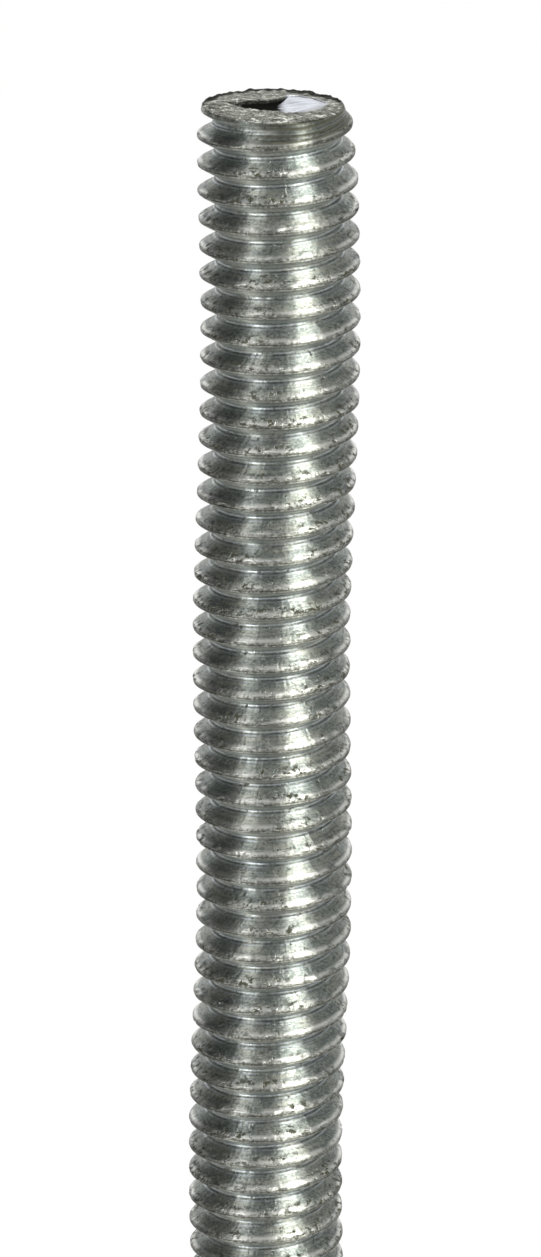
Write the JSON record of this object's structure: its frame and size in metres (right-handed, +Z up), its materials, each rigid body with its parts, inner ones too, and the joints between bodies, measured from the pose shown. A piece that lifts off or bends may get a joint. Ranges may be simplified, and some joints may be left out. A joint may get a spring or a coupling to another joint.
{
  "type": "threaded rod",
  "caption": "Length of fully threaded steel rod with a flat foot and a shear-cropped top end, taking nuts or screwing into tapped holes.",
  "frame": {"origin": "centre of the rod's flat foot", "axes": "+Z runs up the rod from the foot to the cropped end, +X points to the right and -Y to the front as the picture shows the rod"},
  "size_m": [0.0082, 0.0078, 0.0762],
  "materials": {
    "zinc_plated_steel": "zinc plated, dulled, with oily dark specks in the grooves"
  },
  "bodies": {
    "root": {"threaded_rod": "zinc_plated_steel"}
  },
  "joints": []
}
